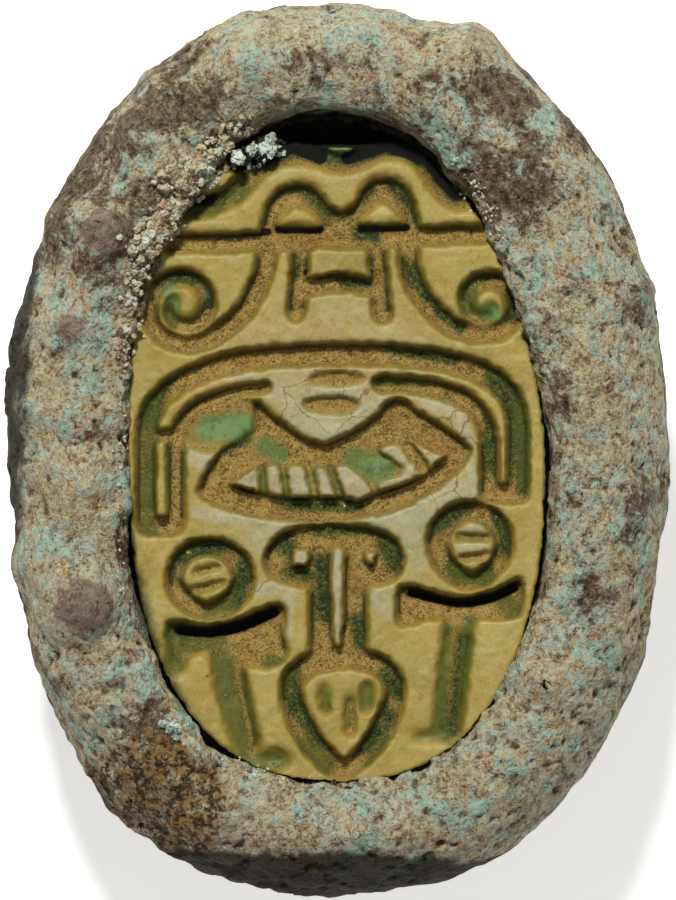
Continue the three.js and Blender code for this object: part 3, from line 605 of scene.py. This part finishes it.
class Wiring:
    # short ways to add and join nodes in one material
    def __init__(self, tree):
        self.tree = tree
        self.place = self.add("ShaderNodeTexCoord").outputs["Object"]

    def add(self, kind, **settings):
        node = self.tree.nodes.new(kind)
        for key, value in settings.items():
            setattr(node, key, value)
        return node

    def feed(self, socket, value):
        if hasattr(value, "is_output"):
            self.tree.links.new(value, socket)
        else:
            socket.default_value = value

    def noise(self, size, detail=4.0, roughness=0.55, distortion=0.0, shift=0.0):
        node = self.add("ShaderNodeTexNoise", noise_dimensions="4D")
        self.feed(node.inputs["Vector"], self.place)
        node.inputs["W"].default_value = shift
        node.inputs["Scale"].default_value = 1 / size
        node.inputs["Detail"].default_value = detail
        node.inputs["Roughness"].default_value = roughness
        node.inputs["Distortion"].default_value = distortion
        return node.outputs["Fac"]

    def cells(self, size, feature="F1", wobble=None):
        node = self.add("ShaderNodeTexVoronoi", feature=feature)
        self.feed(node.inputs["Vector"], self.place if wobble is None else wobble)
        node.inputs["Scale"].default_value = 1 / size
        return node.outputs["Distance"]

    def grains(self, size, wobble=None):
        # how far each place is from the middle of its grain, and two chance values for that grain
        distance = self.cells(size, wobble=wobble)
        split = self.add("ShaderNodeSeparateColor")
        self.feed(split.inputs[0], distance.node.outputs["Color"])
        return distance, split.outputs[0], split.outputs[1]

    def wobbled(self, size, amount):
        # object coordinates pushed about a little, for natural cracks
        node = self.add("ShaderNodeTexNoise")
        self.feed(node.inputs["Vector"], self.place)
        node.inputs["Scale"].default_value = 1 / size
        node.inputs["Detail"].default_value = 3
        pushed = self.add("ShaderNodeVectorMath", operation="MULTIPLY_ADD")
        self.feed(pushed.inputs[0], node.outputs["Color"])
        pushed.inputs[1].default_value = (amount,) * 3
        self.feed(pushed.inputs[2], self.place)
        return pushed.outputs["Vector"]

    def shade(self, name):
        return self.add("ShaderNodeAttribute", attribute_name=name).outputs["Fac"]

    def sums(self, operation, a, b=0.0, clamp=False):
        node = self.add("ShaderNodeMath", operation=operation, use_clamp=clamp)
        self.feed(node.inputs[0], a)
        self.feed(node.inputs[1], b)
        return node.outputs[0]

    def times(self, product, *others):
        for other in others:
            product = self.sums("MULTIPLY", product, other)
        return product

    def plus(self, total, *others):
        for other in others:
            total = self.sums("ADD", total, other)
        return total

    def between(self, value, low, high, bottom=0.0, top=1.0):
        node = self.add("ShaderNodeMapRange", interpolation_type="SMOOTHSTEP")
        self.feed(node.inputs["Value"], value)
        node.inputs["From Min"].default_value = low
        node.inputs["From Max"].default_value = high
        node.inputs["To Min"].default_value = bottom
        node.inputs["To Max"].default_value = top
        return node.outputs["Result"]

    def mix(self, share, a, b, blend="MIX"):
        node = self.add("ShaderNodeMix", data_type="RGBA", blend_type=blend)
        self.feed(node.inputs["Factor"], share)
        self.feed(node.inputs["A"], a)
        self.feed(node.inputs["B"], b)
        return node.outputs["Result"]

    def colours(self, value, stops):
        node = self.add("ShaderNodeValToRGB")
        self.feed(node.inputs["Fac"], value)
        band = node.color_ramp
        band.elements[0].position, band.elements[0].color = stops[0]
        band.elements[1].position, band.elements[1].color = stops[-1]
        for position, colour in stops[1:-1]:
            band.elements.new(position).color = colour
        return node.outputs["Color"]

    def axis(self, name):
        node = self.add("ShaderNodeSeparateXYZ")
        self.feed(node.inputs["Vector"], self.place)
        return node.outputs[name]

    def near(self, x, y, reachX, reachY):
        # one inside a soft oval seen from above, nought outside
        moved = self.add("ShaderNodeMapping", vector_type="TEXTURE")
        self.feed(moved.inputs["Vector"], self.place)
        moved.inputs["Location"].default_value = (x * mm, y * mm, 0)
        moved.inputs["Scale"].default_value = (reachX * mm, reachY * mm, 1)
        length = self.add("ShaderNodeVectorMath", operation="LENGTH")
        self.feed(length.inputs[0], moved.outputs["Vector"])
        return self.between(length.outputs["Value"], 0.4, 1.0, 1.0, 0.0)

    def bump(self, heights):
        normal = None
        for height, distance, strength in heights:
            node = self.add("ShaderNodeBump")
            node.inputs["Strength"].default_value = strength
            node.inputs["Distance"].default_value = distance
            self.feed(node.inputs["Height"], height)
            if normal is not None:
                self.feed(node.inputs["Normal"], normal)
            normal = node.outputs["Normal"]
        return normal


def rgb(red, green, blue):
    # screen colours, 0 to 255, as the shader wants them
    def linear(value):
        value /= 255
        return value / 12.92 if value <= 0.04045 else ((value + 0.055) / 1.055) ** 2.4
    return (linear(red), linear(green), linear(blue), 1)


stoneLook = {
    "cream": rgb(176, 158, 88),
    "olive": rgb(158, 138, 64),
    "pale": rgb(174, 160, 112),
    "bluish": rgb(152, 166, 140),
    "bone": rgb(186, 170, 126),
    "orange": rgb(176, 144, 68),
    "grey": rgb(148, 148, 92),
    "rosy": rgb(172, 148, 104),
    "shoulder": rgb(150, 120, 42),
    "stained": rgb(116, 108, 34),
    # painted light and shade on the walls: the next two colours, dark for walls that face away from the
    # light, lighter for walls that face it
    "shadedWall": rgb(78, 68, 16),
    "sunlit": rgb(158, 130, 62),
    # dark glaze with painted shade, at the foot of walls away from the light
    "foot": rgb(44, 44, 12),
    # painted shade: nearly black, for deep cuts and shadowed floors
    "shadeBlack": rgb(7, 8, 4),
    "crack": rgb(98, 64, 26),
    "green": rgb(90, 98, 34),
    "greenPale": rgb(104, 140, 82),
    "greenDark": rgb(38, 54, 22),
    "rust": rgb(122, 84, 34),
    "brim": rgb(56, 60, 24),
}

# colours of the grains in the grooves, each with the share where it begins
dirtGrains = [
    (0.0, rgb(84, 68, 26)), (0.2, rgb(124, 100, 46)), (0.45, rgb(150, 124, 64)), (0.72, rgb(166, 140, 78)),
    (0.88, rgb(140, 120, 60)), (0.95, rgb(188, 166, 108)), (0.99, rgb(226, 214, 180)),
]
glazeGrains = [
    (0.0, rgb(24, 34, 12)), (0.34, rgb(46, 60, 24)), (0.6, rgb(68, 78, 28)), (0.8, rgb(96, 94, 36)),
    (0.93, rgb(134, 116, 56)), (0.99, rgb(206, 200, 166)),
]


def bareStone(w, look, depth, fine, middle, smudges):
    # the worn face: cream and olive clouds, paler and bluer towards the middle
    uneven = w.sums("SUBTRACT", middle, 0.5)
    broad = w.noise(2.4 * mm, 6, 0.65, 0.5, shift=3.1)
    base = w.mix(w.between(broad, 0.36, 0.64), look["cream"], look["olive"])
    cloud = w.between(w.noise(1.1 * mm, 6, 0.65, shift=5), 0.36, 0.6)
    base = w.mix(w.times(w.near(0.1, 0.2, 5.0, 6.4), cloud, 0.9), base, look["pale"])
    rosy = w.between(w.noise(0.8 * mm, 6, 0.7, shift=18), 0.42, 0.6)
    base = w.mix(w.times(w.near(-0.6, 1.2, 4.6, 4.4), rosy, 0.7), base, look["rosy"])
    bluish = w.between(w.noise(0.5 * mm, 6, 0.75, shift=15), 0.42, 0.58)
    base = w.mix(w.times(w.near(0.3, -1.2, 4.4, 3.6), bluish, 0.7), base, look["bluish"])
    hueful = w.noise(0.6 * mm, 6, 0.7, 0.4, shift=36)
    base = w.mix(w.between(hueful, 0.53, 0.68, 0, 0.6), base, look["orange"])
    base = w.mix(w.between(hueful, 0.47, 0.34, 0, 0.5), base, look["grey"])
    bony = w.between(w.plus(w.shade("bone"), w.times(uneven, 1.4)), 0.35, 0.8)
    bony = w.times(bony, w.between(depth, 0.2, 0.07))
    bones = w.mix(w.between(w.noise(0.15 * mm, 4, 0.7, shift=27), 0.42, 0.6), look["bone"], look["bluish"])
    base = w.mix(w.times(bony, 0.75), base, bones)
    base = w.mix(w.times(w.between(middle, 0.42, 0.7), 0.4), base, look["shoulder"])
    base = w.mix(w.between(smudges, 0.52, 0.66, 0, 0.4), base, look["stained"])
    base = w.mix(w.times(w.between(fine, 0.52, 0.72), 0.35), base, look["crack"])
    base = w.mix(w.times(w.between(fine, 0.46, 0.3), 0.35), base, look["bone"])
    dots = w.times(w.between(w.cells(0.8 * mm), 0.07, 0.04), w.between(cloud, 0.3, 0.7))
    base = w.mix(w.times(dots, 0.7), base, look["crack"])
    cracks = w.cells(1.3 * mm, "DISTANCE_TO_EDGE", wobble=w.wobbled(0.8 * mm, 0.8 * mm))
    cracked = w.plus(w.near(3.1, -0.4, 1.6, 2.6), w.near(-0.4, 1.3, 2.4, 1.4))
    cracked = w.plus(cracked, w.times(w.near(-1.8, -3.4, 1.6, 1.4), 0.8), uneven)
    thin = w.times(w.between(cracks, 0.0, 0.02, 1.0, 0.0), w.between(cracked, 0.4, 0.8), 0.75)
    return w.mix(thin, base, look["crack"])


def stoneMaterial():
    material, tree, shader = newMaterial("glazed_stone")
    w = Wiring(tree)
    look = stoneLook
    depth = w.shade("depth")
    foot = w.shade("foot")
    fine = w.noise(0.07 * mm, 3)
    middle = w.noise(0.36 * mm, 6, 0.7, shift=1.7)
    smudges = w.noise(1.7 * mm, 7, 0.72, 0.6, shift=48)
    uneven = w.sums("SUBTRACT", middle, 0.5)
    base = bareStone(w, look, depth, fine, middle, smudges)

    # the walls darken downwards, and the stain runs a little way on to the face; on the walls this is painted
    # light and shade, lighter where they face the head and dark where they face the foot
    creeping = w.plus(w.shade("stain"), w.times(uneven, 0.14))
    rim = w.mix(w.between(smudges, 0.42, 0.58), look["shoulder"], look["stained"])
    base = w.mix(w.between(creeping, 0.03, 0.19, 0, 0.85), base, rim)
    down = w.plus(depth, w.times(uneven, 0.24))
    below = w.between(down, 0.1, 0.3, 0, 0.95)
    base = w.mix(w.times(w.shade("sunny"), below, 0.8), base, look["sunlit"])
    base = w.mix(w.times(w.shade("shady"), below), base, look["shadedWall"])
    brim = w.between(w.plus(w.shade("brim"), w.times(uneven, 0.8)), 0.3, 0.9)
    base = w.mix(w.times(brim, 0.85), base, look["brim"])

    # green glaze lies in the hollows
    wet = w.times(w.shade("green"), w.between(middle, 0.3, 0.62, 0.7, 1.25))
    wet = w.times(w.between(wet, 0.15, 0.8), w.between(creeping, 0.06, 0.26))
    light = w.mix(w.between(w.plus(w.shade("mint"), uneven), 0.2, 0.7), look["green"], look["greenPale"])
    greens = w.mix(w.between(w.plus(depth, uneven), 0.24, 0.5), light, look["greenDark"])
    base = w.mix(w.times(wet, 0.9), base, greens)

    # grains of dirt on the floors, dark glaze among them, and dark glaze with painted shade along the foot of
    # the walls that do not face the light
    fromMiddle, chance, other = w.grains(0.046 * mm)
    toned = w.plus(w.times(chance, 0.75), w.times(uneven, 1.5), 0.02)
    dirt = w.colours(toned, dirtGrains)
    glaze = w.colours(toned, glazeGrains)
    rusty = w.between(w.noise(0.9 * mm, 5, 0.7, shift=33), 0.5, 0.64, 0, 0.4)
    dirt = w.mix(rusty, dirt, look["rust"])
    sunken = w.plus(w.times(w.shade("dark"), 0.8), w.times(foot, 0.75), w.times(uneven, 0.9), 0.03)
    dirt = w.mix(w.between(sunken, 0.12, 0.84), dirt, glaze)
    dirt = w.mix(w.times(wet, 0.8), dirt, w.mix(0.5, glaze, light))
    ragged = w.plus(w.times(uneven, 0.3), w.times(other, 0.1))
    shallow = w.times(w.between(w.plus(w.shade("earth"), uneven), 0.4, 0.75), w.between(depth, 0.02, 0.1))
    # the dust reaches higher on the walls that face the light, as part of their painted light
    raised = w.plus(depth, ragged, w.times(w.shade("sunny"), 0.14))
    dusty = w.sums("MAXIMUM", w.between(raised, 0.32, 0.47), w.times(shallow, 0.85))
    base = w.mix(dusty, base, dirt)
    # dark glaze and painted shade at the foot of the walls
    atFoot = w.times(w.between(foot, 0.5, 0.95), w.between(middle, 0.3, 0.6, 0.3, 0.75))
    base = w.mix(atFoot, base, look["foot"])

    # painted shadow, nearly black: the deep cuts, the broken head and the floors under the upper walls
    base = w.mix(w.between(w.plus(depth, w.times(uneven, 0.3)), 0.6, 0.8), base, look["shadeBlack"])
    paintedShadowStrokes = w.between(w.plus(w.shade("paintedShadowStrokes"), w.times(uneven, 0.7)), 0.25, 0.65)
    base = w.mix(w.times(paintedShadowStrokes, w.between(depth, 0.16, 0.34)), base, look["shadeBlack"])
    paintedShadow = w.between(w.plus(w.shade("paintedShadow"), w.times(uneven, 1.1)), 0.25, 0.85, 0, 0.95)
    base = w.mix(w.times(paintedShadow, w.between(depth, 0.05, 0.2)), base, look["shadeBlack"])

    tree.links.new(base, shader.inputs["Base Color"])
    rough = w.mix(w.between(creeping, 0.05, 0.3), (0.5, 0.5, 0.5, 1), (0.62, 0.62, 0.62, 1))
    rough = w.mix(dusty, rough, (0.95, 0.95, 0.95, 1))
    rough = w.mix(w.times(wet, w.between(dusty, 0.6, 0.2)), rough, (0.4, 0.4, 0.4, 1))
    tree.links.new(rough, shader.inputs["Roughness"])
    shader.inputs["Specular IOR Level"].default_value = 0.35
    grainHeight = w.times(w.sums("SUBTRACT", 1.0, fromMiddle), w.plus(dusty, 0.04))
    normal = w.bump([(grainHeight, 0.014 * mm, 0.6), (middle, 0.022 * mm, 0.5), (fine, 0.01 * mm, 0.5)])
    tree.links.new(normal, shader.inputs["Normal"])
    return material


crustLook = {
    "wart": rgb(104, 84, 68),
    "wartPale": rgb(146, 126, 108),
    "pit": rgb(24, 18, 8),
    "burnt": rgb(70, 54, 30),
    "ochre": rgb(138, 100, 44),
    # painted shade on the low outer side
    "paintedSideShade": rgb(38, 32, 18),
}

# colours of the crust, each with the share of the cloudiness where it begins
paleCrust = [
    (0.28, rgb(140, 118, 104)), (0.37, rgb(172, 158, 150)), (0.43, rgb(200, 178, 142)),
    (0.49, rgb(204, 196, 170)), (0.54, rgb(188, 190, 186)), (0.6, rgb(166, 194, 188)),
    (0.67, rgb(168, 212, 196)), (0.76, rgb(214, 236, 214)),
]
brownCrust = [
    (0.3, rgb(54, 42, 28)), (0.42, rgb(94, 76, 58)), (0.52, rgb(126, 108, 90)), (0.62, rgb(154, 138, 118)),
    (0.76, rgb(188, 174, 148)),
]
# how bright its single grains are
grainLight = [
    (0.06, rgb(86, 62, 34)), (0.26, rgb(160, 132, 98)), (0.46, rgb(216, 202, 180)),
    (0.66, rgb(232, 242, 226)), (0.9, rgb(250, 255, 240)),
]


def crustMaterial(name, paleness):
    material, tree, shader = newMaterial(name)
    w = Wiring(tree)
    look = crustLook
    rise = w.shade("rise")
    blister = w.shade("blister")
    speck = w.noise(0.07 * mm, 3, 0.7)
    grain = w.noise(0.3 * mm, 5, 0.75, shift=2.2)
    patch = w.noise(1.5 * mm, 8, 0.72, 0.3, shift=4.4)
    hue = w.noise(1.0 * mm, 9, 0.74, 0.5, shift=9)
    crinkle = w.noise(0.22 * mm, 4, 0.7, 0.8, shift=21)
    fromMiddle, chance, other = w.grains(0.06 * mm)

    # sand, mauve and turquoise run into each other; the head and the left are browner, the foot is paler
    browner = w.plus(w.near(-5.4, 7.6, 5.4, 5.0), w.times(w.near(5.5, 9.0, 3.6, 4.0), 0.7))
    paler = w.near(0.5, -10.6, 6.5, 2.6)
    leaning = w.sums("SUBTRACT", w.times(browner, 0.07), w.times(paler, 0.06))
    patchy = w.plus(patch, w.sums("SUBTRACT", leaning, paleness))
    jitter = w.times(w.sums("SUBTRACT", other, 0.5), 0.14)
    base = w.mix(
        w.between(patchy, 0.53, 0.6), w.colours(w.plus(hue, jitter), paleCrust),
        w.colours(w.plus(grain, jitter, w.times(rise, 0.8)), brownCrust),
    )
    smooth = w.between(w.plus(blister, w.times(w.sums("SUBTRACT", grain, 0.5), 0.9)), 0.35, 0.6, 0, 0.9)
    tone = w.plus(w.times(chance, 0.25), w.times(w.between(speck, 0.28, 0.72), 0.3))
    tone = w.plus(tone, w.times(rise, 2.0), w.times(w.between(crinkle, 0.3, 0.66), 0.5))
    base = w.mix(0.95, base, w.colours(tone, grainLight), "MULTIPLY")
    base = w.mix(smooth, base, w.mix(w.between(crinkle, 0.35, 0.62), look["wart"], look["wartPale"]))
    wavy = w.sums("SUBTRACT", patch, 0.5)
    soiled = w.between(w.plus(w.near(-5.2, -10.0, 3.4, 2.8), w.times(wavy, 1.6)), 0.3, 0.8)
    base = w.mix(w.times(soiled, w.between(grain, 0.38, 0.54, 0.2, 0.85)), base, look["ochre"])
    base = w.mix(w.times(soiled, w.between(crinkle, 0.56, 0.42, 0, 0.9)), base, look["pit"])

    # dark hollows, pits and cracks, with brown round them
    clustered = w.between(w.plus(patch, w.times(browner, 0.04)), 0.44, 0.56)
    pits = w.noise(0.26 * mm, 6, 0.8, 0.6, shift=12)
    base = w.mix(w.times(w.between(pits, 0.44, 0.38), clustered, 0.7), base, look["burnt"])
    base = w.mix(w.times(w.between(pits, 0.4, 0.35), clustered, 0.95), base, look["pit"])
    base = w.mix(w.between(rise, -0.02, -0.07, 0, 0.7), base, look["burnt"])
    base = w.mix(w.between(rise, -0.05, -0.1, 0, 0.95), base, look["pit"])
    cracks = w.cells(0.55 * mm, "DISTANCE_TO_EDGE", wobble=w.wobbled(0.25 * mm, 0.35 * mm))
    cracks = w.times(w.between(cracks, 0.0, 0.06, 0.8, 0.0), w.between(grain, 0.5, 0.58), clustered)
    base = w.mix(cracks, base, look["pit"])
    # painted shade: the outer side is painted darker low down, most of all at the foot and on the left
    towards = w.plus(
        w.times(w.near(-1.2, -12.7, 8.0, 2.6), 3.6 * mm), w.times(w.near(-9.6, 3.0, 2.0, 9.0), 2.2 * mm),
    )
    low = w.sums("SUBTRACT", w.plus(w.axis("Z"), w.times(wavy, 5 * mm)), towards)
    low = w.between(low, 6.2 * mm, 5.2 * mm)
    base = w.mix(w.times(low, 0.92), base, w.mix(w.between(speck, 0.4, 0.62), look["pit"], look["paintedSideShade"]))

    tree.links.new(base, shader.inputs["Base Color"])
    shader.inputs["Roughness"].default_value = 0.88
    shader.inputs["Metallic"].default_value = 0.0
    shader.inputs["Specular IOR Level"].default_value = 0.3
    normal = w.bump([(crinkle, 0.22 * mm, 0.8), (fromMiddle, 0.03 * mm, -0.5), (speck, 0.06 * mm, 0.6)])
    tree.links.new(normal, shader.inputs["Normal"])
    return material


# the colours of the loose crumbs
creamCrumbs = [
    (0.0, rgb(72, 56, 40)), (0.2, rgb(132, 108, 84)), (0.4, rgb(176, 160, 126)), (0.62, rgb(206, 196, 160)),
    (0.84, rgb(176, 200, 186)), (0.96, rgb(236, 232, 212)),
]
paleCrumbs = [
    (0.0, rgb(96, 108, 96)), (0.25, rgb(150, 170, 156)), (0.5, rgb(186, 204, 190)),
    (0.75, rgb(214, 222, 204)), (0.95, rgb(240, 244, 230)),
]


def crumbMaterial(name, tones):
    material, tree, shader = newMaterial(name)
    w = Wiring(tree)
    chance = w.grains(0.24 * mm, w.wobbled(0.2 * mm, 0.1 * mm))[1]
    speck = w.noise(0.07 * mm, 3, 0.7)
    tone = w.plus(w.times(chance, 0.75), w.between(speck, 0.3, 0.7, -0.1, 0.35))
    base = w.mix(w.between(speck, 0.42, 0.3, 0, 0.6), w.colours(tone, tones), crustLook["pit"])
    tree.links.new(base, shader.inputs["Base Color"])
    shader.inputs["Roughness"].default_value = 0.9
    tree.links.new(w.bump([(speck, 0.05 * mm, 0.8)]), shader.inputs["Normal"])
    return material


# make the pieces

sealPiece = carvedSeal()
weatherSeal(sealPiece)
sealPiece.data.materials.clear()
sealPiece.data.materials.append(stoneMaterial())
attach(sealPiece, "root")
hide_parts("scarab")
print("seal done", len(sealPiece.data.polygons))

mountPiece = crustedMount()
corrode(mountPiece)
mountPiece.data.materials.clear()
mountPiece.data.materials.append(crustMaterial("corroded_metal", 0.0))
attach(mountPiece, "root")
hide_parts("mount")
print("mount done", len(mountPiece.data.polygons))

for crumbName, crumbKind, tones, paleness in (
    ("crust_crumbs", "crust", creamCrumbs, -0.1), ("pale_crumbs", "pale", paleCrumbs, 0.15),
):
    heapFinish = crustMaterial(crumbKind + "_heap", paleness)
    crumbFinish = crumbMaterial(crumbKind + "_grains", tones)
    crumbs = scatterCrumbs(crumbName, crumbKind, [sealPiece, mountPiece], heapFinish, crumbFinish)
    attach(crumbs, "root")
    print(crumbName, len(crumbs.data.polygons))


# floor, light and camera

studio = {
    "floor": rgb(250, 249, 247),
    "distance": 250 * mm,
    "frameHeight": 25.14 * mm,
    "floorGlow": 0.6,
    "keyPlace": (-22 * mm, 130 * mm, 192 * mm),
    "keyEnergy": 0.5,
    "keySize": 30 * mm,
    "fillEnergy": 0.03,
    "sky": 0.2,
}

deselectAll()
bpy.ops.mesh.primitive_plane_add(size=1.2, location=(0, 0, -0.02 * mm))
floor = bpy.context.object
floor.name = "floor"
floorMaterial, floorTree, floorShader = newMaterial("floor")
floorShader.inputs["Base Color"].default_value = studio["floor"]
floorShader.inputs["Roughness"].default_value = 0.9
floorShader.inputs["Emission Color"].default_value = studio["floor"]
floorShader.inputs["Emission Strength"].default_value = studio["floorGlow"]
floor.data.materials.append(floorMaterial)


def areaLight(name, place, size, energy, colour):
    deselectAll()
    bpy.ops.object.light_add(type="AREA", location=place)
    light = bpy.context.object
    light.name = name
    light.data.shape = "DISK"
    light.data.size = size
    light.data.energy = energy
    light.data.color = colour
    light.rotation_euler = (Vector((0, 0, 6 * mm)) - Vector(place)).to_track_quat("-Z", "Y").to_euler()
    return light


areaLight("key", studio["keyPlace"], studio["keySize"], studio["keyEnergy"], (1, 0.985, 0.96))
areaLight("fill", (70 * mm, -60 * mm, 200 * mm), 160 * mm, studio["fillEnergy"], (0.95, 0.98, 1))
world = bpy.data.worlds.new("studio")
bpy.context.scene.world = world
world.use_nodes = True
world.node_tree.nodes["Background"].inputs["Color"].default_value = (1, 1, 1, 1)
world.node_tree.nodes["Background"].inputs["Strength"].default_value = studio["sky"]

deselectAll()
bpy.ops.object.camera_add(location=(0, 0, studio["distance"] + 6 * mm), rotation=(0, 0, 0))
camera = bpy.context.object
camera.data.sensor_width = 36
camera.data.lens = 36 * studio["distance"] / studio["frameHeight"]
camera.data.clip_start = 1 * mm
camera.data.clip_end = 10
bpy.context.scene.camera = camera
bpy.context.scene.view_settings.view_transform = "Standard"
print("studio done")
